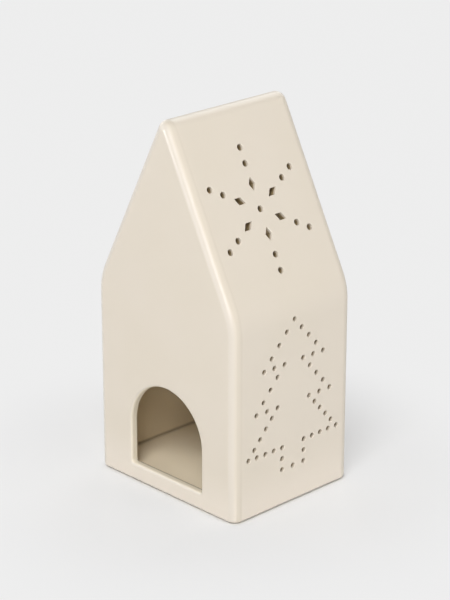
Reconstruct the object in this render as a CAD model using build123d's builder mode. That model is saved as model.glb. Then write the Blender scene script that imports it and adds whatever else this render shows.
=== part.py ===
from build123d import *
import os
from math import hypot

# Tealight house: a slip-cast ceramic house with a doorway and pierced light holes, a floor slab luted in
# between its walls, felt pads under the slab, and the tealight that stands inside.
# Frame, in millimetres: X across the gable, the doorway faces -Y, the pierced side faces +X and Z is up.
# The origin is the middle of the footprint, on the surface that the pads stand on.

# House, outside. Heights are from the foot rim, and the eave and apex are where the flat faces would meet.
house_width = 84.0
house_depth = 69.2
eave_height = 88.8
apex_height = 170.9
eave_radius = 28.0
gable_edge_radius = 4.4
ridge_extra_radius = 0.3
foot_edge_radius = 1.5

# House, inside.
wall = 3.6
inner_edge_radius = 2.2
cut_overrun = 1.0

# Floor slab: it lies above the foot rim, and the sill stands above it.
floor_recess = 1.1
floor_thickness = 3.7
lute_gap = 0.15

# Felt pads: they hold the foot rim a little off the surface.
foot_lift = 0.5
pad_diameter = 10.0
pad_edge_margin = 2.0
pad_edge_radius = 0.3

# Tealight.
rim_diameter = 37.0
rim_bead = 1.0
cup_height = 15.0
cup_wall = 0.3
cup_draft = 0.9
cup_foot_radius = 1.6
wax_height = 12.6
wax_dish = 0.8
dish_middle_shares = (0.5, 0.75)
cast_gap = 0.08
clip_diameter = 13.0
clip_sheet = 0.3
clip_neck_height = 5.0
wick_diameter = 1.6
wick_stand = 7.0
wick_tip_radius = 0.3
wick_fit = 0.05

# Where the tealight stands: pushed to the back, a little to one side of the doorway's middle.
tealight_back_gap = 0.6
tealight_offset = 0.7

# Doorway: the tealight passes through it.
door_clearance = 3.2
door_height = 40.8
door_offset = 0.3
sill_rise = 3.1
door_corner_radius = 1.2
door_edge_radius = 1.3
door_inner_edge_radius = 0.4

# Snowflake, pierced in the roof slope: its middle lies below the middle of the slope, and the ring of its
# outer dots keeps the side margin from the gables. The rings are shares of that outer one.
snowflake_drop = 4.1
snowflake_offset = -1.1
snowflake_side_margin = 8.1
snowflake_arms = 6
snowflake_dot_diameter = 2.8
dot_ring_shares = (0.74, 1.0)
diamond_ring_share = 0.4075
diamond_length = 6.2
diamond_width = 3.4
diamond_corner_radius = 0.2
pierced_edge_radius = 0.25

# Tree, pierced in the side wall as a dotted outline: it keeps the side margin from the gables, and its tip
# lies below the eave.
tree_side_margin = 8.3
tree_tip_drop = 6.0
tree_foot_height = 16.5
tree_dot_diameter = 2.2
# Corners of the right half, from the tip to the trunk's foot, as shares of the half width and the height.
tree_corner_shares = (
    (0.0, 1.0),
    (0.664, 0.717),
    (0.208, 0.717),
    (0.827, 0.444),
    (0.355, 0.441),
    (1.0, 0.157),
    (0.247, 0.153),
    (0.244, 0.0),
)
# Dots on each stretch of the outline, counted with the corner that ends it.
tree_dot_counts = (4, 2, 4, 2, 5, 4, 2)

# Sizes that follow from those above.
ridge_radius = gable_edge_radius + ridge_extra_radius
roof_rise = (apex_height - eave_height) / (house_width / 2)
roof_lean = hypot(1, roof_rise)
snowflake_place = house_width / 4 * roof_lean + snowflake_drop
snowflake_radius = house_depth / 2 - snowflake_side_margin
tree_width = house_depth - 2 * tree_side_margin
tree_height = eave_height - tree_tip_drop - tree_foot_height
floor_top = foot_lift + floor_recess + floor_thickness
door_width = rim_diameter + 2 * door_clearance
chamber_width = house_width - 2 * wall
chamber_depth = house_depth - 2 * wall
tealight_x = door_offset + tealight_offset
tealight_y = chamber_depth / 2 - tealight_back_gap - rim_diameter / 2
wick_radius = wick_diameter / 2
neck_radius = wick_radius + wick_fit + clip_sheet

# Planes that the outlines are drawn on.
end_view = Plane(origin=(0, 0, foot_lift), x_dir=(1, 0, 0), z_dir=(0, -1, 0))
side_view = Plane(origin=(house_width / 2, 0, foot_lift), x_dir=(0, 1, 0), z_dir=(1, 0, 0))
roof_view = Plane(
    origin=(
        snowflake_place / roof_lean,
        snowflake_offset,
        foot_lift + apex_height - snowflake_place * roof_rise / roof_lean,
    ),
    x_dir=(0, 1, 0),
    z_dir=(roof_rise, 0, 1),
)
candle_view = Plane(origin=(tealight_x, tealight_y, floor_top), x_dir=(1, 0, 0), z_dir=(0, -1, 0))
candle_axis = Axis((tealight_x, tealight_y, floor_top), (0, 0, 1))


def gable_outline(inset, foot, eave_round, ridge_round):
    """End view of the house, drawn in from the outside by inset, with its foot at the given height."""
    half = house_width / 2 - inset
    eave = eave_height + inset * (roof_rise - roof_lean)
    apex = apex_height - inset * roof_lean
    with BuildSketch(end_view) as outline:
        with BuildLine():
            Polyline((-half, foot), (half, foot), (half, eave), (0, apex), (-half, eave), close=True)
        make_face()
        fillet(outline.vertices().group_by(Axis.Y)[1], eave_round)
        fillet(outline.vertices().sort_by(Axis.Y)[-1], ridge_round)
    return outline.sketch


def tree_dots():
    """Middles of the tree's dots on the side view, both halves."""
    corners = [
        (tree_width / 2 * across, tree_foot_height + tree_height * up)
        for across, up in tree_corner_shares
    ]
    dots = [corners[0], (0, tree_foot_height)]
    for (x_from, z_from), (x_to, z_to), count in zip(corners, corners[1:], tree_dot_counts):
        for step in range(1, count + 1):
            x = x_from + (x_to - x_from) * step / count
            z = z_from + (z_to - z_from) * step / count
            dots += [(x, z), (-x, z)]
    return dots


def gable_edges(part):
    """Edges all round both gable faces, apart from those along the foot."""
    rims = part.faces().filter_by(Axis.Y).edges()
    return rims - rims.filter_by(Axis.X)


os.makedirs("parts", exist_ok=True)

# The hollow inside the house: it is open below, where the floor slab closes it.
with BuildPart() as chamber:
    extrude(
        gable_outline(wall, -cut_overrun, eave_radius - wall, inner_edge_radius + ridge_extra_radius),
        amount=chamber_depth / 2,
        both=True,
    )
    fillet(gable_edges(chamber), inner_edge_radius)

# One diamond of the snowflake, its length along the arm
with BuildSketch() as diamond:
    with BuildLine():
        Polyline(
            (-diamond_length / 2, 0),
            (0, -diamond_width / 2),
            (diamond_length / 2, 0),
            (0, diamond_width / 2),
            close=True,
        )
    make_face()
    fillet(diamond.vertices(), diamond_corner_radius)

with BuildPart() as house_shell:
    extrude(gable_outline(0, 0, eave_radius, ridge_radius), amount=house_depth / 2, both=True)
    fillet(gable_edges(house_shell), gable_edge_radius)
    fillet(house_shell.faces().sort_by(Axis.Z)[0].edges(), foot_edge_radius)
    add(chamber.part, mode=Mode.SUBTRACT)

    # Doorway, with a straight sill and a round arch
    with BuildSketch(end_view.offset(house_depth / 2 + cut_overrun)):
        sill = floor_top - foot_lift + sill_rise
        spring = sill + door_height - door_width / 2
        with BuildLine():
            right = Line((door_offset + door_width / 2, sill), (door_offset + door_width / 2, spring))
            arch = CenterArc((door_offset, spring), door_width / 2, 0, 180)
            left = Line(arch @ 1, (door_offset - door_width / 2, sill))
            Line(left @ 1, right @ 0)
        make_face()
        fillet(vertices().group_by(Axis.Y)[0], door_corner_radius)
    extrude(amount=-wall - 2 * cut_overrun, mode=Mode.SUBTRACT)
    gables = house_shell.faces().filter_by(Axis.Y).sort_by(Axis.Y)
    fillet(gables[0].inner_wires()[0].edges(), door_edge_radius)
    gables = house_shell.faces().filter_by(Axis.Y).sort_by(Axis.Y)
    fillet(gables[1].inner_wires()[0].edges(), door_inner_edge_radius)

    # Snowflake: a middle dot, then a diamond and a row of dots on each arm
    with BuildSketch(roof_view.offset(cut_overrun)):
        Circle(snowflake_dot_diameter / 2)
        with PolarLocations(snowflake_radius * diamond_ring_share, snowflake_arms, start_angle=90):
            add(diamond.sketch)
        for share in dot_ring_shares:
            with PolarLocations(snowflake_radius * share, snowflake_arms, start_angle=90):
                Circle(snowflake_dot_diameter / 2)
    extrude(amount=-wall - 2 * cut_overrun, mode=Mode.SUBTRACT)

    # Tree: one dot at each place on its outline
    with BuildSketch(side_view.offset(cut_overrun)):
        with Locations(*tree_dots()):
            Circle(tree_dot_diameter / 2)
    extrude(amount=-wall - 2 * cut_overrun, mode=Mode.SUBTRACT)

    # The glaze rounds the rim of every pierced hole
    roof_slope = house_shell.faces().filter_by(roof_view).sort_by(Axis.Z)[-1]
    fillet(roof_slope.inner_wires().edges(), pierced_edge_radius)
    side_wall = house_shell.faces().filter_by(Axis.X).sort_by(Axis.X)[-1]
    fillet(side_wall.inner_wires().edges(), pierced_edge_radius)
house_shell.part.label = "house_shell"
export_step(house_shell.part, "parts/house_shell.step")

with BuildPart() as floor_slab:
    with BuildSketch(Plane.XY.offset(foot_lift + floor_recess)):
        RectangleRounded(
            chamber_width - 2 * lute_gap,
            chamber_depth - 2 * lute_gap,
            inner_edge_radius - lute_gap,
        )
    extrude(amount=floor_thickness)
floor_slab.part.label = "floor_slab"
export_step(floor_slab.part, "parts/floor_slab.step")

# Felt pads, one near each corner of the slab's underside
pad_inset = wall + pad_edge_margin + pad_diameter / 2
for end_name, end in (("front", -1), ("back", 1)):
    for side_name, side in (("left", -1), ("right", 1)):
        with BuildPart() as foot_pad:
            with BuildSketch():
                with Locations((side * (house_width / 2 - pad_inset), end * (house_depth / 2 - pad_inset))):
                    Circle(pad_diameter / 2)
            extrude(amount=foot_lift + floor_recess)
            fillet(foot_pad.edges().group_by(Axis.Z)[0], pad_edge_radius)
        foot_pad.part.label = f"foot_pad_{end_name}_{side_name}"
        export_step(foot_pad.part, f"parts/{foot_pad.part.label}.step")

# Tealight cup: a pressed sheet with a sloping wall and a rolled bead for a rim
wall_top = cup_height - rim_bead / 2
cup_top_radius = rim_diameter / 2 - rim_bead + cup_wall
cup_low_radius = cup_top_radius - cup_draft
with BuildPart() as tealight_cup:
    with BuildSketch(candle_view):
        with BuildLine():
            Polyline(
                (0, 0),
                (cup_low_radius, 0),
                (cup_top_radius, wall_top),
                (cup_top_radius - cup_wall, wall_top),
                (cup_low_radius - cup_wall, cup_wall),
                (0, cup_wall),
                close=True,
            )
        make_face()
        fillet(vertices().group_by(Axis.Y)[0].sort_by(Axis.X)[-1], cup_foot_radius)
        inner_corner = vertices().sort_by_distance((cup_low_radius - cup_wall, cup_wall, 0))[0]
        fillet(inner_corner, cup_foot_radius - cup_wall)
        with Locations((rim_diameter / 2 - rim_bead / 2, wall_top)):
            Circle(rim_bead / 2)
    revolve(axis=candle_axis)
tealight_cup.part.label = "tealight_cup"
export_step(tealight_cup.part, "parts/tealight_cup.step")

# Wick clip: a flat round foot with a neck that holds the wick
neck_top = cup_wall + clip_neck_height
with BuildPart() as wick_clip:
    with BuildSketch(candle_view):
        with BuildLine():
            Polyline(
                (wick_radius + wick_fit, cup_wall),
                (clip_diameter / 2, cup_wall),
                (clip_diameter / 2, cup_wall + clip_sheet),
                (neck_radius, cup_wall + clip_sheet),
                (neck_radius, neck_top),
                (wick_radius + wick_fit, neck_top),
                close=True,
            )
        make_face()
    revolve(axis=candle_axis)
wick_clip.part.label = "wick_clip"
export_step(wick_clip.part, "parts/wick_clip.step")

with BuildPart() as tealight_wick:
    with BuildSketch(Plane.XY.offset(floor_top + cup_wall)):
        with Locations((tealight_x, tealight_y)):
            Circle(wick_radius)
    extrude(amount=wax_height - cup_wall + wick_stand)
    fillet(tealight_wick.edges().group_by(Axis.Z)[-1], wick_tip_radius)
tealight_wick.part.label = "tealight_wick"
export_step(tealight_wick.part, "parts/tealight_wick.step")

# Wax: cast in the cup around the clip and the wick, with a shallow dish in its top
wax_low_radius = cup_low_radius - cup_wall - cast_gap
wax_top_radius = wax_low_radius + cup_draft * wax_height / wall_top
dish_middle_across, dish_middle_down = dish_middle_shares
with BuildPart() as tealight_wax:
    with BuildSketch(candle_view):
        with BuildLine():
            outside = Polyline(
                (wick_radius + cast_gap, wax_height - wax_dish),
                (wick_radius + cast_gap, neck_top + cast_gap),
                (neck_radius + cast_gap, neck_top + cast_gap),
                (neck_radius + cast_gap, cup_wall + clip_sheet + cast_gap),
                (clip_diameter / 2 + cast_gap, cup_wall + clip_sheet + cast_gap),
                (clip_diameter / 2 + cast_gap, cup_wall),
                (wax_low_radius, cup_wall),
                (wax_top_radius, wax_height),
            )
            ThreePointArc(
                outside @ 1,
                (wax_top_radius * dish_middle_across, wax_height - wax_dish * dish_middle_down),
                outside @ 0,
            )
        make_face()
        fillet(vertices().group_by(Axis.Y)[0].sort_by(Axis.X)[-1], cup_foot_radius)
    revolve(axis=candle_axis)
tealight_wax.part.label = "tealight_wax"
export_step(tealight_wax.part, "parts/tealight_wax.step")
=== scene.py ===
from math import cos, pi, radians, sin

import bmesh
import bpy
from mathutils import Matrix, Vector, noise


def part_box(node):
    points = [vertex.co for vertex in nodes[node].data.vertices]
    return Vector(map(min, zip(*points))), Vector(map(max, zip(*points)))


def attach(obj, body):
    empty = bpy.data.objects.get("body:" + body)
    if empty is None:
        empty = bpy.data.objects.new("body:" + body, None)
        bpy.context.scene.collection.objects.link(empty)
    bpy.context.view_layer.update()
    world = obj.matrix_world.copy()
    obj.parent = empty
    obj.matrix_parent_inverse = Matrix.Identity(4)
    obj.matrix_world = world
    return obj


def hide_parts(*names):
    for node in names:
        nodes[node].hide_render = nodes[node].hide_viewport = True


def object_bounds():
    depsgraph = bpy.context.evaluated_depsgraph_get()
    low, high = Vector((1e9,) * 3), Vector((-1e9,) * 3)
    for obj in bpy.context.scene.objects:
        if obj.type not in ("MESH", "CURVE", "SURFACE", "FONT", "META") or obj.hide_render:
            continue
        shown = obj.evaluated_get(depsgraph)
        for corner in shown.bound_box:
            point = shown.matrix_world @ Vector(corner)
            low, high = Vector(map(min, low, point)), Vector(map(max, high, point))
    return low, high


# A cream-glazed tealight house on a pale studio floor. Everything is in metres, in the frame of the CAD model:
# X across the gable, the doorway faces -Y, the pierced side faces +X and Z is up.
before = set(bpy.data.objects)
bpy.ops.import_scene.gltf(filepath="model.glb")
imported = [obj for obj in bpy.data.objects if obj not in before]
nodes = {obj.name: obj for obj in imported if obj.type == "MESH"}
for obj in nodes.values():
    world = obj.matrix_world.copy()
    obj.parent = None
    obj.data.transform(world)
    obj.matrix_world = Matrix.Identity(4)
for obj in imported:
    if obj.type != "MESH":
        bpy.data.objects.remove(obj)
cad_low, cad_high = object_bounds()
MM = 0.001

# The house, as the materials and the floor need to know it
HALF_WIDTH, HALF_DEPTH = cad_high.x, cad_high.y
EDGE_RADIUS = 4.4 * MM

# Nearly all of a noise pattern lies between these two
NOISE_LOW, NOISE_HIGH = 0.3, 0.7


def colour(hex_code):
    """An sRGB hex value as linear RGBA."""
    shares = [int(hex_code[i : i + 2], 16) / 255 for i in (0, 2, 4)]
    return [s / 12.92 if s <= 0.04045 else ((s + 0.055) / 1.055) ** 2.4 for s in shares] + [1.0]


def add(tree, kind, inputs=None, **settings):
    """Adds one node with its settings. Each input is a value, or the socket that feeds it."""
    node = tree.nodes.new("ShaderNode" + kind)
    for name, value in settings.items():
        setattr(node, name, value)
    for name, value in (inputs or {}).items():
        if isinstance(value, bpy.types.NodeSocket):
            tree.links.new(value, node.inputs[name])
        else:
            node.inputs[name].default_value = value
    return node


def new_material(name):
    """An empty node material: its tree, and its output node."""
    material = bpy.data.materials.new(name)
    material.use_nodes = True
    material.node_tree.nodes.clear()
    return material, material.node_tree, material.node_tree.nodes.new("ShaderNodeOutputMaterial")


def looked_at(tree):
    """1 where the eye meets a surface: straight on, through something clear or mirrored in something bright."""
    rays = add(tree, "LightPath").outputs
    straight = add(
        tree, "Math", {0: rays["Is Camera Ray"], 1: rays["Is Transmission Ray"]}, operation="MAXIMUM"
    )
    return add(tree, "Math", {0: straight.outputs[0], 1: rays["Is Glossy Ray"]}, operation="MAXIMUM").outputs[0]


# Camera, at the photograph's viewing angle and distance

CAMERA_PLACE = Vector((0.62064, -0.60104, 0.41160))
CAMERA_AIM = Vector((0.018521, -0.017141, 0.08975))

camera = bpy.data.cameras.new("camera")
camera.lens = 130.8
camera.sensor_width = 36.0
camera_object = bpy.data.objects.new("camera", camera)
bpy.context.scene.collection.objects.link(camera_object)
camera_object.location = CAMERA_PLACE
camera_object.rotation_mode = "QUATERNION"
camera_object.rotation_quaternion = (CAMERA_AIM - CAMERA_PLACE).to_track_quat("-Z", "Y")
bpy.context.scene.camera = camera_object
bpy.context.scene.view_settings.view_transform = "Standard"


# Light: a soft key in front of the doorway and a low one under it, that reaches in, with fill from the sides and
# the back, and a faint light tent round it all. A lamp below lights the underside, and a small low one gives the
# glazed edges their bright line. The key and the side lamp give no sheen, so that this line stays clear.

BACKDROP = "EEEEEE"
TENT_STRENGTH = 0.03
LAMP_DISTANCE = 2.4
LAMP_AIM = Vector((0, 0, 0.07))

world = bpy.data.worlds.new("light_tent")
world.use_nodes = True
bpy.context.scene.world = world
sky = world.node_tree
sky.nodes.clear()
tent_light = add(sky, "Background", {"Color": colour("FFFFFF"), "Strength": TENT_STRENGTH})
tent_seen = add(sky, "Background", {"Color": colour(BACKDROP), "Strength": 1.0})
tent = add(sky, "MixShader", {0: looked_at(sky), 1: tent_light.outputs[0], 2: tent_seen.outputs[0]})
sky_output = sky.nodes.new("ShaderNodeOutputWorld")
sky.links.new(tent.outputs[0], sky_output.inputs["Surface"])


def softbox(name, azimuth, elevation, size, power, fill=True, sheen=True):
    """A square area lamp that faces the house. Azimuth 0 is in front of the doorway, 90 on the pierced side.

    Without fill it shows only as a reflection, and without sheen it lights the house but isn't reflected.
    """
    around, above = radians(azimuth), radians(elevation)
    towards = Vector((sin(around) * cos(above), -cos(around) * cos(above), sin(above)))
    lamp = bpy.data.lights.new(name, "AREA")
    lamp.shape = "SQUARE"
    lamp.size = size
    lamp.energy = power
    lamp_object = bpy.data.objects.new(name, lamp)
    bpy.context.scene.collection.objects.link(lamp_object)
    lamp_object.location = LAMP_AIM + towards * LAMP_DISTANCE
    lamp_object.rotation_mode = "QUATERNION"
    lamp_object.rotation_quaternion = (-towards).to_track_quat("-Z", "Y")
    lamp_object.visible_camera = False
    lamp_object.visible_diffuse = fill
    lamp_object.visible_glossy = sheen


softbox("key_softbox", 32, 47, 1.2, 40.0, sheen=False)
softbox("low_softbox", 33, 12, 0.7, 10.0)
softbox("side_softbox", 100, 16, 1.6, 20.0, sheen=False)
softbox("left_softbox", -50, 20, 1.6, 12.5)
softbox("back_softbox", 200, 35, 1.6, 14.0)
softbox("back_left_softbox", 258, 25, 1.6, 12.0)
softbox("under_softbox", 33, -60, 1.6, 16.0)
softbox("edge_softbox", -18, 2, 0.4, 13.0, fill=False)


# Studio floor: pale matt paper. It is clear from below and right under the house, so that the underside shows and
# the lamp below reaches it. Where it is looked at, it is brought to the backdrop's own tone: half the way by the
# house, where the shadow lies, and nearly all the way further off. The line right under the foot stays dark.

PAPER_RADIUS = 6.0
SHADOW_REACH = (58 * MM, 140 * MM)
EVENED_BY_HOUSE, EVENED_FAR_OFF = 0.46, 0.98
FOOT_LINE = (-0.4 * MM, 2.0 * MM)
CLEAR_UNDER_FOOT = -2.2 * MM

floor_mesh = bpy.data.meshes.new("studio_floor")
paper_sheet = bmesh.new()
bmesh.ops.create_circle(paper_sheet, cap_ends=True, radius=PAPER_RADIUS, segments=64)
bmesh.ops.recalc_face_normals(paper_sheet, faces=paper_sheet.faces)
paper_sheet.to_mesh(floor_mesh)
paper_sheet.free()
studio_floor = bpy.data.objects.new("studio_floor", floor_mesh)
bpy.context.scene.collection.objects.link(studio_floor)

paper, tree, output = new_material("pale_studio_paper")
place = add(tree, "TexCoord").outputs["Object"]
from_house = add(tree, "VectorMath", {0: place}, operation="LENGTH")
evened = add(
    tree, "MapRange",
    {
        "Value": from_house.outputs["Value"], 1: SHADOW_REACH[0], 2: SHADOW_REACH[1],
        3: EVENED_BY_HOUSE, 4: EVENED_FAR_OFF,
    },
    interpolation_type="SMOOTHSTEP",
)

# How far a place lies outside the foot's outline, which is a rectangle with round corners
from_middle = add(tree, "VectorMath", {0: place}, operation="ABSOLUTE")
past_flats = add(
    tree, "VectorMath", {0: from_middle.outputs[0], 1: (HALF_WIDTH - EDGE_RADIUS, HALF_DEPTH - EDGE_RADIUS, 1.0)},
    operation="SUBTRACT",
)
past_corner = add(tree, "VectorMath", {0: past_flats.outputs[0], 1: (0, 0, 0)}, operation="MAXIMUM")
rounded = add(tree, "VectorMath", {0: past_corner.outputs[0]}, operation="LENGTH")
foot_gap = add(tree, "Math", {0: rounded.outputs["Value"], 1: EDGE_RADIUS}, operation="SUBTRACT")

in_open = add(
    tree, "MapRange", {"Value": foot_gap.outputs[0], 1: FOOT_LINE[0], 2: FOOT_LINE[1], 3: 0.0, 4: 1.0},
    interpolation_type="SMOOTHSTEP",
)
seen_open = add(tree, "Math", {0: looked_at(tree), 1: in_open.outputs[0]}, operation="MULTIPLY")
lifted = add(tree, "Math", {0: seen_open.outputs[0], 1: evened.outputs[0]}, operation="MULTIPLY")
matt = add(tree, "BsdfDiffuse", {"Color": colour(BACKDROP)})
even = add(tree, "Emission", {"Color": colour(BACKDROP), "Strength": 1.0})
top_side = add(tree, "MixShader", {0: lifted.outputs[0], 1: matt.outputs[0], 2: even.outputs[0]})
clear = add(tree, "BsdfTransparent")
from_below = add(tree, "NewGeometry").outputs["Backfacing"]
under_foot = add(tree, "Math", {0: foot_gap.outputs[0], 1: CLEAR_UNDER_FOOT}, operation="LESS_THAN")
let_through = add(tree, "Math", {0: from_below, 1: under_foot.outputs[0]}, operation="MAXIMUM")
sheet = add(tree, "MixShader", {0: let_through.outputs[0], 1: top_side.outputs[0], 2: clear.outputs[0]})
tree.links.new(sheet.outputs[0], output.inputs["Surface"])
floor_mesh.materials.append(paper)


# Satin cream glaze over slip-cast stoneware: one smooth, waxy sheen under a thin glossy skin, which draws the lamps
# as fine lines along the edges. The glaze clouds a little from place to place and is wiped off the foot, where the
# bare clay shows. Light and shade are also painted into its colour: a painted highlight on the outer half of the
# gable edges with painted shade just behind it, painted bounce light towards the foot and on the doorway, painted
# shade in the pierced holes, along the floor's joint and the sill's inner edge, and painted warm bounce light inside.

GLAZE = "DCD2C3"
GLAZE_CLOUD = "DBD1C1"
# Painted highlight along the outer half of the gable edges
PAINTED_EDGE_HIGHLIGHT = "DCD3C6"
# Painted shade in a band just behind the gable edges
PAINTED_EDGE_SHADE = "D5CBBB"
# Painted bounce light from the floor, lighter towards the foot
PAINTED_FOOT_BOUNCE = "E2D8CA"
# Painted light on the doorway's jambs and arch
PAINTED_DOORWAY_LIGHT = "F0E6D2"
# Painted shade in the pierced holes
PAINTED_HOLE_SHADE = "A3916F"
# Painted warm bounce light inside the shell, and painted light on the floor slab inside
PAINTED_BOUNCE_INSIDE = "E5D2B1"
PAINTED_BOUNCE_FLOOR = "F8EACF"
# A dark joint line, widened with painted shade along the floor's joint and the sill's inner edge
BROWN_JOINT_AND_SHADE = "6B583A"
BARE_CLAY = "D9CCB6"

# Sizes of what varies over the glaze: clouds, patches of sheen, waves of the casting, grain and line of bare clay
CLOUD_SIZE = 30 * MM
SHEEN_SIZE = 9 * MM
WAVE_LENGTH = 14 * MM
CLAY_GRAIN = 0.4 * MM
LINE_WANDER_SIZE = 5 * MM
LINE_WANDER = 0.12 * MM
LINE_SOFT = 0.1 * MM

# A roof slope's face: the way it looks, across and up, and how far out it lies that way
SLOPE_ACROSS, SLOPE_UP, SLOPE_DISTANCE = 0.8903, 0.4554, 78.06 * MM

# Places on the house. The painted highlight band and the painted shade band behind it are measured off the middle,
# and start and end over a short way.
EDGE_HIGHLIGHT_START, EDGE_HIGHLIGHT_END = (32.9 * MM, 33.7 * MM), (34.45 * MM, 34.6 * MM)
EDGE_SHADE_START, EDGE_SHADE_END = (29.6 * MM, 30.8 * MM), (32.2 * MM, 33.0 * MM)
FOOT_BAND = (3 * MM, 24 * MM)
SHELL_BARE_BELOW, SLAB_BARE_BELOW = 0.7 * MM, 3.0 * MM
SILL_TOP, SILL_LINE_REACH = 8.4 * MM, 0.5 * MM
DOOR_HALF_WIDTH = 22.0 * MM
DOOR_EDGE_REACH = 25.0 * MM
DOOR_EDGE_TOP = 53.0 * MM
DOOR_EDGE_FOOT = (7.2 * MM, SILL_TOP)
JOINT_TOP = (5.5 * MM, 6.6 * MM)
HOLES_HALF_DEPTH = 29.5 * MM
HOLES_MIDDLE, HOLES_REACH = 80.0 * MM, 76.0 * MM

# Depths below the flat outside faces: over the doorway's cut edge, in a hole's wall, inside the house, out from the
# floor's joint to the wall, and over the back of the sill
CUT_EDGE = (-0.5 * MM, -0.05 * MM)
HOLE_WALL = (-1.5 * MM, -0.9 * MM)
INSIDE = (-3.5 * MM, -2.9 * MM)
JOINT_SHADE_WIDTH = (-6.2 * MM, -3.9 * MM)
SILL_BACK = (-3.4 * MM, -2.1 * MM)
SILL_BACK_END = -3.65 * MM
JOINT_SHADE_STRENGTH, SILL_SHADE_STRENGTH = 0.38, 0.65


def band(tree, value, start, end):
    """1 between two places on a measure, with soft ends."""
    rise = add(
        tree, "MapRange", {"Value": value, 1: start[0], 2: start[1], 3: 0.0, 4: 1.0},
        interpolation_type="SMOOTHSTEP",
    )
    fall = add(
        tree, "MapRange", {"Value": value, 1: end[0], 2: end[1], 3: 1.0, 4: 0.0}, interpolation_type="SMOOTHSTEP"
    )
    return add(tree, "Math", {0: rise.outputs[0], 1: fall.outputs[0]}, operation="MULTIPLY").outputs[0]


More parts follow.
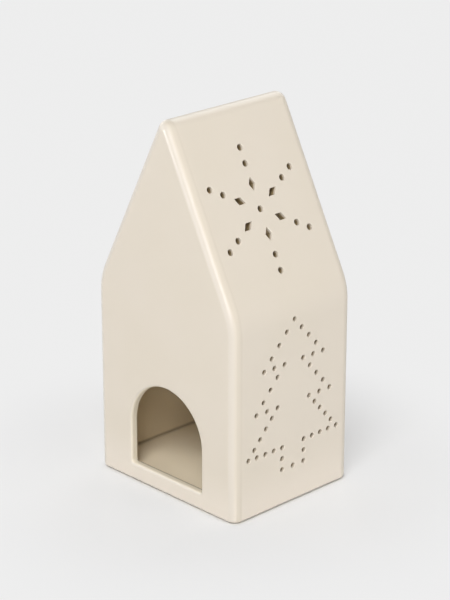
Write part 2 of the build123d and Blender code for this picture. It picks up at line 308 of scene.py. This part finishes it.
def glazed_stoneware(name, inside_bounce_hex, bare_below):
    """The glaze, painted warm bounce light inside the house, and bare clay on everything lower than bare_below."""
    material, tree, output = new_material(name)
    place = add(tree, "TexCoord").outputs["Object"]
    axes = add(tree, "SeparateXYZ", {0: place}).outputs

    # Clouds of thicker glaze, and painted bounce light from the floor, lighter down towards the foot
    clouds = add(tree, "TexNoise", {"Vector": place, "Scale": 1 / CLOUD_SIZE, "Detail": 1.0})
    cloud_amount = add(
        tree, "MapRange", {"Value": clouds.outputs[0], 1: NOISE_LOW, 2: NOISE_HIGH, 3: 0.0, 4: 1.0},
        interpolation_type="SMOOTHSTEP",
    )
    clouded = add(
        tree, "Mix", {0: cloud_amount.outputs[0], 6: colour(GLAZE), 7: colour(GLAZE_CLOUD)}, data_type="RGBA"
    )
    by_foot = add(
        tree, "MapRange", {"Value": axes["Z"], 1: FOOT_BAND[0], 2: FOOT_BAND[1], 3: 1.0, 4: 0.0},
        interpolation_type="SMOOTHSTEP",
    )
    body = add(
        tree, "Mix", {0: by_foot.outputs[0], 6: clouded.outputs[2], 7: colour(PAINTED_FOOT_BOUNCE)}, data_type="RGBA"
    )

    # Painted highlight on the outer half of the gable edges, and painted shade in a band just behind it
    off_middle = add(tree, "Math", {0: axes["Y"]}, operation="ABSOLUTE").outputs[0]
    edge_highlight_amount = band(tree, off_middle, EDGE_HIGHLIGHT_START, EDGE_HIGHLIGHT_END)
    edge_highlighted = add(tree, "Mix", {0: edge_highlight_amount, 6: body.outputs[2], 7: colour(PAINTED_EDGE_HIGHLIGHT)}, data_type="RGBA")
    edge_shade_amount = band(tree, off_middle, EDGE_SHADE_START, EDGE_SHADE_END)
    edge_shaded = add(tree, "Mix", {0: edge_shade_amount, 6: edge_highlighted.outputs[2], 7: colour(PAINTED_EDGE_SHADE)}, data_type="RGBA")

    # How far a place lies below the flat outside faces
    off_side = add(tree, "Math", {0: axes["X"]}, operation="ABSOLUTE").outputs[0]
    below_wall = add(tree, "Math", {0: off_side, 1: HALF_WIDTH}, operation="SUBTRACT")
    below_gable = add(tree, "Math", {0: off_middle, 1: HALF_DEPTH}, operation="SUBTRACT").outputs[0]
    across_slope = add(tree, "Math", {0: off_side, 1: SLOPE_ACROSS, 2: -SLOPE_DISTANCE}, operation="MULTIPLY_ADD")
    below_slope = add(
        tree, "Math", {0: axes["Z"], 1: SLOPE_UP, 2: across_slope.outputs[0]}, operation="MULTIPLY_ADD"
    )
    below_side = add(tree, "Math", {0: below_wall.outputs[0], 1: below_gable}, operation="MAXIMUM")
    below_outside = add(
        tree, "Math", {0: below_side.outputs[0], 1: below_slope.outputs[0]}, operation="MAXIMUM"
    ).outputs[0]

    # Painted light on the doorway's jambs, arch and sill, in from the front face's cut edge
    cut_edge = add(
        tree, "MapRange", {"Value": below_gable, 1: CUT_EDGE[0], 2: CUT_EDGE[1], 3: 1.0, 4: 0.0},
        interpolation_type="SMOOTHSTEP",
    )
    door_wide = add(tree, "Math", {0: off_side, 1: DOOR_EDGE_REACH}, operation="LESS_THAN")
    below_arch = add(tree, "Math", {0: axes["Z"], 1: DOOR_EDGE_TOP}, operation="LESS_THAN")
    from_sill = add(
        tree, "MapRange", {"Value": axes["Z"], 1: DOOR_EDGE_FOOT[0], 2: DOOR_EDGE_FOOT[1], 3: 0.0, 4: 1.0},
        interpolation_type="SMOOTHSTEP",
    )
    by_door = add(tree, "Math", {0: door_wide.outputs[0], 1: below_arch.outputs[0]}, operation="MULTIPLY")
    on_door = add(tree, "Math", {0: by_door.outputs[0], 1: from_sill.outputs[0]}, operation="MULTIPLY")
    door_light_amount = add(tree, "Math", {0: cut_edge.outputs[0], 1: on_door.outputs[0]}, operation="MULTIPLY")
    door_lit = add(
        tree, "Mix", {0: door_light_amount.outputs[0], 6: edge_shaded.outputs[2], 7: colour(PAINTED_DOORWAY_LIGHT)},
        data_type="RGBA",
    )

    # Painted shade in the pierced holes, darker on their walls below the rounded rims
    in_wall = add(
        tree, "MapRange", {"Value": below_outside, 1: HOLE_WALL[0], 2: HOLE_WALL[1], 3: 1.0, 4: 0.0},
        interpolation_type="SMOOTHSTEP",
    )
    off_gables = add(tree, "Math", {0: off_middle, 1: HOLES_HALF_DEPTH}, operation="LESS_THAN")
    off_ridge = add(tree, "Math", {0: axes["Z"], 1: HOLES_MIDDLE, 2: HOLES_REACH}, operation="COMPARE")
    by_holes = add(tree, "Math", {0: off_gables.outputs[0], 1: off_ridge.outputs[0]}, operation="MULTIPLY")
    hole_shade_amount = add(tree, "Math", {0: in_wall.outputs[0], 1: by_holes.outputs[0]}, operation="MULTIPLY")
    pierced = add(
        tree, "Mix", {0: hole_shade_amount.outputs[0], 6: door_lit.outputs[2], 7: colour(PAINTED_HOLE_SHADE)},
        data_type="RGBA",
    )

    # Painted warm bounce light inside, deeper below the outside faces than the rounded edges ever are
    inside = add(
        tree, "MapRange", {"Value": below_outside, 1: INSIDE[0], 2: INSIDE[1], 3: 1.0, 4: 0.0},
        interpolation_type="SMOOTHSTEP",
    )
    lined = add(tree, "Mix", {0: inside.outputs[0], 6: pierced.outputs[2], 7: colour(inside_bounce_hex)}, data_type="RGBA")

    # A brown joint line where the floor is luted to the walls, widened into painted shade in the corner, and painted
    # shade along the inner edge of the sill
    above_floor = add(
        tree, "MapRange", {"Value": axes["Z"], 1: JOINT_TOP[0], 2: JOINT_TOP[1], 3: 1.0, 4: 0.0},
        interpolation_type="SMOOTHSTEP",
    )
    by_wall = add(
        tree, "MapRange", {"Value": below_side.outputs[0], 1: JOINT_SHADE_WIDTH[0], 2: JOINT_SHADE_WIDTH[1], 3: 0.0, 4: 1.0},
        interpolation_type="SMOOTHSTEP",
    )
    joint = add(tree, "Math", {0: above_floor.outputs[0], 1: by_wall.outputs[0]}, operation="MULTIPLY")
    joint_inside = add(tree, "Math", {0: joint.outputs[0], 1: inside.outputs[0]}, operation="MULTIPLY")
    faint_joint_shade = add(tree, "Math", {0: joint_inside.outputs[0], 1: JOINT_SHADE_STRENGTH}, operation="MULTIPLY")
    sill_back = add(
        tree, "MapRange", {"Value": below_gable, 1: SILL_BACK[0], 2: SILL_BACK[1], 3: SILL_SHADE_STRENGTH, 4: 0.0},
        interpolation_type="SMOOTHSTEP",
    )
    near_sill = add(tree, "Math", {0: below_gable, 1: SILL_BACK_END}, operation="GREATER_THAN")
    sill_edge = add(tree, "Math", {0: sill_back.outputs[0], 1: near_sill.outputs[0]}, operation="MULTIPLY")
    in_doorway = add(tree, "Math", {0: off_side, 1: DOOR_HALF_WIDTH}, operation="LESS_THAN")
    at_sill = add(tree, "Math", {0: axes["Z"], 1: SILL_TOP, 2: SILL_LINE_REACH}, operation="COMPARE")
    sill_line = add(tree, "Math", {0: in_doorway.outputs[0], 1: at_sill.outputs[0]}, operation="MULTIPLY")
    sill_shade = add(tree, "Math", {0: sill_edge.outputs[0], 1: sill_line.outputs[0]}, operation="MULTIPLY")
    joint_and_sill_shade = add(tree, "Math", {0: faint_joint_shade.outputs[0], 1: sill_shade.outputs[0]}, operation="MAXIMUM")
    joint_and_sill_shaded = add(
        tree, "Mix", {0: joint_and_sill_shade.outputs[0], 6: lined.outputs[2], 7: colour(BROWN_JOINT_AND_SHADE)}, data_type="RGBA"
    )

    # Bare clay under a slightly wandering glaze line
    wander = add(tree, "TexNoise", {"Vector": place, "Scale": 1 / LINE_WANDER_SIZE, "Detail": 2.0})
    line = add(
        tree, "MapRange",
        {"Value": wander.outputs[0], 1: NOISE_LOW, 2: NOISE_HIGH, 3: -LINE_WANDER, 4: LINE_WANDER},
    )
    height = add(tree, "Math", {0: axes["Z"], 1: line.outputs[0]}, operation="ADD")
    bare = add(
        tree, "MapRange",
        {"Value": height.outputs[0], 1: bare_below - LINE_SOFT, 2: bare_below + LINE_SOFT, 3: 1.0, 4: 0.0},
    )
    shown = add(
        tree, "Mix", {0: bare.outputs[0], 6: joint_and_sill_shaded.outputs[2], 7: colour(BARE_CLAY)}, data_type="RGBA"
    )

    # Satin sheen, uneven by a few hundredths, and matt where the clay is bare
    sheen_spots = add(tree, "TexNoise", {"Vector": place, "Scale": 1 / SHEEN_SIZE, "Detail": 2.0})
    satin = add(tree, "MapRange", {"Value": sheen_spots.outputs[0], 1: NOISE_LOW, 2: NOISE_HIGH, 3: 0.29, 4: 0.32})
    rough = add(tree, "Mix", {0: bare.outputs[0], 2: satin.outputs[0], 3: 0.9}, data_type="FLOAT")

    # The casting's faint waviness under the glaze, and the clay's grain where it is bare
    waves = add(tree, "TexNoise", {"Vector": place, "Scale": 1 / WAVE_LENGTH, "Detail": 1.0})
    swell = add(tree, "Bump", {"Height": waves.outputs[0], "Strength": 0.025, "Distance": 1.0 * MM})
    grain = add(tree, "TexNoise", {"Vector": place, "Scale": 1 / CLAY_GRAIN, "Detail": 4.0})
    bare_grain = add(tree, "Math", {0: grain.outputs[0], 1: bare.outputs[0]}, operation="MULTIPLY")
    surface = add(
        tree, "Bump",
        {"Height": bare_grain.outputs[0], "Strength": 0.5, "Distance": 0.15 * MM, "Normal": swell.outputs[0]},
    )
    glaze = add(
        tree, "BsdfPrincipled",
        {
            "Base Color": shown.outputs[2], "Roughness": rough.outputs[0], "Normal": surface.outputs[0], "IOR": 1.5,
            "Coat Weight": 0.3, "Coat Roughness": 0.10,
        },
    )
    tree.links.new(glaze.outputs[0], output.inputs["Surface"])
    return material


shell_glaze = glazed_stoneware("satin_cream_glaze", PAINTED_BOUNCE_INSIDE, SHELL_BARE_BELOW)
floor_glaze = glazed_stoneware("satin_cream_glaze_floor", PAINTED_BOUNCE_FLOOR, SLAB_BARE_BELOW)


def finish(node, material):
    """Gives a CAD node its dressed material."""
    for slot in nodes[node].material_slots:
        slot.material = material


finish("house_shell", shell_glaze)
finish("floor_slab", floor_glaze)


def new_piece(name, shape, material, body):
    """Links a finished bmesh as a piece that rides on a CAD body."""
    mesh = bpy.data.meshes.new(name)
    shape.to_mesh(mesh)
    shape.free()
    mesh.materials.append(material)
    piece = bpy.data.objects.new(name, mesh)
    bpy.context.scene.collection.objects.link(piece)
    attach(piece, body)
    return piece


# Felt pads: pressed wool felt, cut in discs. Short grey-brown fibres lie every way, with lighter ones among them.
# Wool is too fine to show, so the fibres are drawn about ten times as coarse.

FELT_DARK = "7F7262"
FELT_LIGHT = "B0A48F"
FIBRE = 0.25 * MM
FIBRE_BEND, FIBRE_BEND_SIZE = 0.9 * MM, 1.2 * MM
FELT_SIDES = 72
FELT_TRIM = 0.08 * MM
FELT_RIM_ROUND = 0.3 * MM
FELT_RIM_INSET = 1.2 * MM
FELT_RIM_SHARE = 0.9
FELT_RAG, FELT_RAG_SIZE = 0.06 * MM, 0.5 * MM

felt, tree, output = new_material("pressed_wool_felt")
place = add(tree, "TexCoord").outputs["Object"]
bend = add(tree, "TexNoise", {"Vector": place, "Scale": 1 / FIBRE_BEND_SIZE, "Detail": 2.0})
bent = add(tree, "VectorMath", {0: bend.outputs["Color"], 1: (FIBRE_BEND,) * 3}, operation="MULTIPLY")
along = add(tree, "VectorMath", {0: place, 1: bent.outputs[0]}, operation="ADD")
fibres = add(tree, "TexNoise", {"Vector": along.outputs[0], "Scale": 1 / FIBRE, "Detail": 4.0, "Roughness": 0.65})
fibre_amount = add(tree, "MapRange", {"Value": fibres.outputs[0], 1: 0.35, 2: 0.65, 3: 0.0, 4: 1.0})
wool = add(tree, "Mix", {0: fibre_amount.outputs[0], 6: colour(FELT_DARK), 7: colour(FELT_LIGHT)}, data_type="RGBA")
nap = add(tree, "Bump", {"Height": fibres.outputs[0], "Strength": 0.8, "Distance": FIBRE})
felt_surface = add(
    tree, "BsdfPrincipled",
    {"Base Color": wool.outputs[2], "Roughness": 0.95, "Normal": nap.outputs[0], "Sheen Weight": 0.35},
)
tree.links.new(felt_surface.outputs[0], output.inputs["Surface"])


def felt_disc(node):
    """One pad, cut from felt sheet: a disc with a soft, slightly ragged rim."""
    low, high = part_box(node)
    middle = (low + high) / 2
    radius = (high.x - low.x) / 2 - FELT_TRIM
    disc = bmesh.new()
    bmesh.ops.create_circle(disc, cap_ends=True, radius=radius, segments=FELT_SIDES)
    raised = bmesh.ops.extrude_face_region(disc, geom=disc.faces[:])
    top = [v for v in raised["geom"] if isinstance(v, bmesh.types.BMVert)]
    bmesh.ops.translate(disc, verts=top, vec=(0, 0, high.z - low.z))
    rims = [e for e in disc.edges if abs(e.verts[0].co.z - e.verts[1].co.z) < 1e-6]
    bmesh.ops.bevel(
        disc, geom=rims, offset=FELT_RIM_ROUND, offset_type="OFFSET", segments=3, profile=0.5, affect="EDGES",
        material=-1,
    )
    flats = [f for f in disc.faces if len(f.verts) > 4]
    bmesh.ops.inset_individual(disc, faces=flats, thickness=FELT_RIM_INSET)
    bmesh.ops.translate(disc, verts=disc.verts, vec=(middle.x, middle.y, low.z))
    for vertex in disc.verts:
        out = Vector((vertex.co.x - middle.x, vertex.co.y - middle.y, 0))
        if out.length > radius * FELT_RIM_SHARE:
            vertex.co += out.normalized() * noise.noise(vertex.co / FELT_RAG_SIZE) * FELT_RAG
    bmesh.ops.recalc_face_normals(disc, faces=disc.faces)
    for face in disc.faces:
        face.smooth = len(face.verts) == 4
    piece = new_piece(node.replace("foot_pad", "felt_pad"), disc, felt, "house")
    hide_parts(node)


for pad in sorted(n for n in nodes if n.startswith("foot_pad")):
    felt_disc(pad)


# Tealight cup: drawn aluminium sheet, bright but finely scored round the wall by the die, with faint upright
# puckers where the sheet was gathered in. The scores are drawn coarser than a die leaves them, so that they show.

ALUMINIUM_DARK = "DADBDC"
ALUMINIUM_LIGHT = "EDEDEC"
RIM_RADIUS_MM = 18.5
PUCKERS_PER_MM = 1.1
SCORE = 0.35 * MM
SCORE_STRETCH = (0.05, 0.05, 1.0)

cup_low, cup_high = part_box("tealight_cup")
cup_middle = (cup_low + cup_high) / 2
aluminium, tree, output = new_material("drawn_aluminium")
place = add(tree, "TexCoord").outputs["Object"]
centred = add(tree, "Mapping", {0: place, "Location": (-cup_middle.x, -cup_middle.y, -cup_low.z)})
axes = add(tree, "SeparateXYZ", {0: centred.outputs[0]}).outputs
angle = add(tree, "Math", {0: axes["Y"], 1: axes["X"]}, operation="ARCTAN2")
turns = add(tree, "Math", {0: angle.outputs[0], 1: RIM_RADIUS_MM}, operation="MULTIPLY")
round_wall = add(tree, "CombineXYZ", {"X": turns.outputs[0], "Y": axes["Z"]})
puckers = add(tree, "TexNoise", {"Vector": round_wall.outputs[0], "Scale": PUCKERS_PER_MM, "Detail": 2.0})
score_place = add(tree, "VectorMath", {0: centred.outputs[0], 1: SCORE_STRETCH}, operation="MULTIPLY")
scores = add(tree, "TexNoise", {"Vector": score_place.outputs[0], "Scale": 1 / SCORE, "Detail": 3.0})
pucker_bump = add(tree, "Bump", {"Height": puckers.outputs[0], "Strength": 0.35, "Distance": 0.4 * MM})
score_bump = add(
    tree, "Bump",
    {"Height": scores.outputs[0], "Strength": 0.15, "Distance": 0.05 * MM, "Normal": pucker_bump.outputs[0]},
)
dull = add(tree, "MapRange", {"Value": scores.outputs[0], 1: NOISE_LOW, 2: NOISE_HIGH, 3: 0.22, 4: 0.38})
tone = add(
    tree, "Mix", {0: scores.outputs[0], 6: colour(ALUMINIUM_DARK), 7: colour(ALUMINIUM_LIGHT)}, data_type="RGBA"
)
cup_surface = add(
    tree, "BsdfPrincipled",
    {"Base Color": tone.outputs[2], "Metallic": 1.0, "Roughness": dull.outputs[0], "Normal": score_bump.outputs[0]},
)
tree.links.new(cup_surface.outputs[0], output.inputs["Surface"])
finish("tealight_cup", aluminium)


# Wax: pressed and recast paraffin. Light goes a few millimetres in, and the top is frosted in small crystals.

WAX_MILKY = "F1EDE2"
WAX_DEEP = "E6E0D0"
WAX_FROST = "F5F2EA"
FROST_CRYSTAL = 0.9 * MM
WAX_CLOUD = 8 * MM

paraffin, tree, output = new_material("paraffin_wax")
place = add(tree, "TexCoord").outputs["Object"]
frost = add(tree, "TexVoronoi", {"Vector": place, "Scale": 1 / FROST_CRYSTAL})
frost_amount = add(tree, "MapRange", {"Value": frost.outputs["Distance"], 1: 0.0, 2: 0.7, 3: 0.0, 4: 1.0})
depth = add(tree, "TexNoise", {"Vector": place, "Scale": 1 / WAX_CLOUD, "Detail": 2.0})
milky = add(tree, "Mix", {0: depth.outputs[0], 6: colour(WAX_MILKY), 7: colour(WAX_DEEP)}, data_type="RGBA")
frosted = add(
    tree, "Mix", {0: frost_amount.outputs[0], 6: milky.outputs[2], 7: colour(WAX_FROST)}, data_type="RGBA"
)
wax_bump = add(tree, "Bump", {"Height": frost.outputs["Distance"], "Strength": 0.25, "Distance": 0.1 * MM})
wax_gloss = add(tree, "MapRange", {"Value": depth.outputs[0], 1: NOISE_LOW, 2: NOISE_HIGH, 3: 0.42, 4: 0.58})
wax_surface = add(
    tree, "BsdfPrincipled",
    {
        "Base Color": frosted.outputs[2], "Roughness": wax_gloss.outputs[0], "IOR": 1.44,
        "Normal": wax_bump.outputs[0],
        "Subsurface Weight": 0.6, "Subsurface Radius": (1.0, 0.8, 0.6), "Subsurface Scale": 2.0 * MM,
    },
)
tree.links.new(wax_surface.outputs[0], output.inputs["Surface"])
finish("tealight_wax", paraffin)


# Wick clip: stamped tinplate, a soft grey shine with rolling lines, drawn coarser than real so that they show.

TIN_DARK = "A3A29C"
TIN_LIGHT = "C2C1BB"
ROLLING_LINE = 0.3 * MM
ROLLING_STRETCH = (1.0, 0.05, 1.0)

tinplate, tree, output = new_material("stamped_tinplate")
place = add(tree, "TexCoord").outputs["Object"]
rolled = add(tree, "VectorMath", {0: place, 1: ROLLING_STRETCH}, operation="MULTIPLY")
rolling = add(tree, "TexNoise", {"Vector": rolled.outputs[0], "Scale": 1 / ROLLING_LINE, "Detail": 3.0})
tin_tone = add(tree, "Mix", {0: rolling.outputs[0], 6: colour(TIN_DARK), 7: colour(TIN_LIGHT)}, data_type="RGBA")
tin_dull = add(tree, "MapRange", {"Value": rolling.outputs[0], 1: NOISE_LOW, 2: NOISE_HIGH, 3: 0.28, 4: 0.42})
tin_surface = add(
    tree, "BsdfPrincipled", {"Base Color": tin_tone.outputs[2], "Metallic": 1.0, "Roughness": tin_dull.outputs[0]}
)
tree.links.new(tin_surface.outputs[0], output.inputs["Surface"])
finish("wick_clip", tinplate)


# Wick: three cotton yarns twisted together and dipped in wax, so they are pale and a little shiny. Cotton is too fine
# to show, so the fibres are drawn about ten times as coarse.

YARN_DARK = "D5CBB6"
YARN_LIGHT = "EFE9DB"
YARN_FIBRE = 0.15 * MM
YARNS = 3
YARN_SIDES = 12
TWIST_LENGTH = 5.5 * MM
TWIST_STEPS = 48
TIP_LENGTH = 0.5 * MM
TIP_SHARE = 0.45

cotton, tree, output = new_material("waxed_cotton_yarn")
place = add(tree, "TexCoord").outputs["Object"]
yarn_fibres = add(tree, "TexNoise", {"Vector": place, "Scale": 1 / YARN_FIBRE, "Detail": 3.0})
yarn_tone = add(
    tree, "Mix", {0: yarn_fibres.outputs[0], 6: colour(YARN_DARK), 7: colour(YARN_LIGHT)}, data_type="RGBA"
)
yarn_bump = add(tree, "Bump", {"Height": yarn_fibres.outputs[0], "Strength": 0.6, "Distance": 0.08 * MM})
yarn_surface = add(
    tree, "BsdfPrincipled", {"Base Color": yarn_tone.outputs[2], "Roughness": 0.55, "Normal": yarn_bump.outputs[0]}
)
tree.links.new(yarn_surface.outputs[0], output.inputs["Surface"])


def twisted_wick():
    """Three yarns that lie against each other, spun up the wick's axis, each drawn in to a blunt tip."""
    low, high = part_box("tealight_wick")
    middle = (low + high) / 2
    reach = (high.x - low.x) / 2
    yarn = reach / (1 + 2 / 3**0.5)
    lay = yarn * 2 / 3**0.5
    length = high.z - low.z - TIP_LENGTH
    twist = 2 * pi * length / TWIST_LENGTH
    wick = bmesh.new()
    for strand in range(YARNS):
        start = bmesh.ops.create_circle(wick, radius=yarn, segments=YARN_SIDES)["verts"]
        bmesh.ops.translate(wick, verts=start, vec=(lay, 0, 0))
        turn = Matrix.Rotation(2 * pi * strand / YARNS, 3, "Z")
        bmesh.ops.rotate(wick, verts=start, cent=(0, 0, 0), matrix=turn)
        bmesh.ops.translate(wick, verts=start, vec=(middle.x, middle.y, low.z))
        loop = list({e for v in start for e in v.link_edges})
        spun = bmesh.ops.spin(
            wick, geom=start + loop, cent=(middle.x, middle.y, low.z), axis=(0, 0, 1), angle=twist,
            dvec=(0, 0, length / TWIST_STEPS), steps=TWIST_STEPS, use_merge=False, use_duplicate=False,
        )
        end = [g for g in spun["geom_last"] if isinstance(g, bmesh.types.BMEdge)]
        drawn = bmesh.ops.extrude_edge_only(wick, edges=end)["geom"]
        tip_verts = [g for g in drawn if isinstance(g, bmesh.types.BMVert)]
        heart = sum((v.co for v in tip_verts), Vector()) / len(tip_verts)
        for vertex in tip_verts:
            vertex.co = heart + (vertex.co - heart) * TIP_SHARE + Vector((0, 0, TIP_LENGTH))
        bmesh.ops.contextual_create(wick, geom=[g for g in drawn if isinstance(g, bmesh.types.BMEdge)])
        bmesh.ops.contextual_create(wick, geom=loop)
    bmesh.ops.recalc_face_normals(wick, faces=wick.faces)
    for face in wick.faces:
        face.smooth = len(face.verts) == 4
    piece = new_piece("twisted_wick", wick, cotton, "tealight")
    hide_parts("tealight_wick")


twisted_wick()
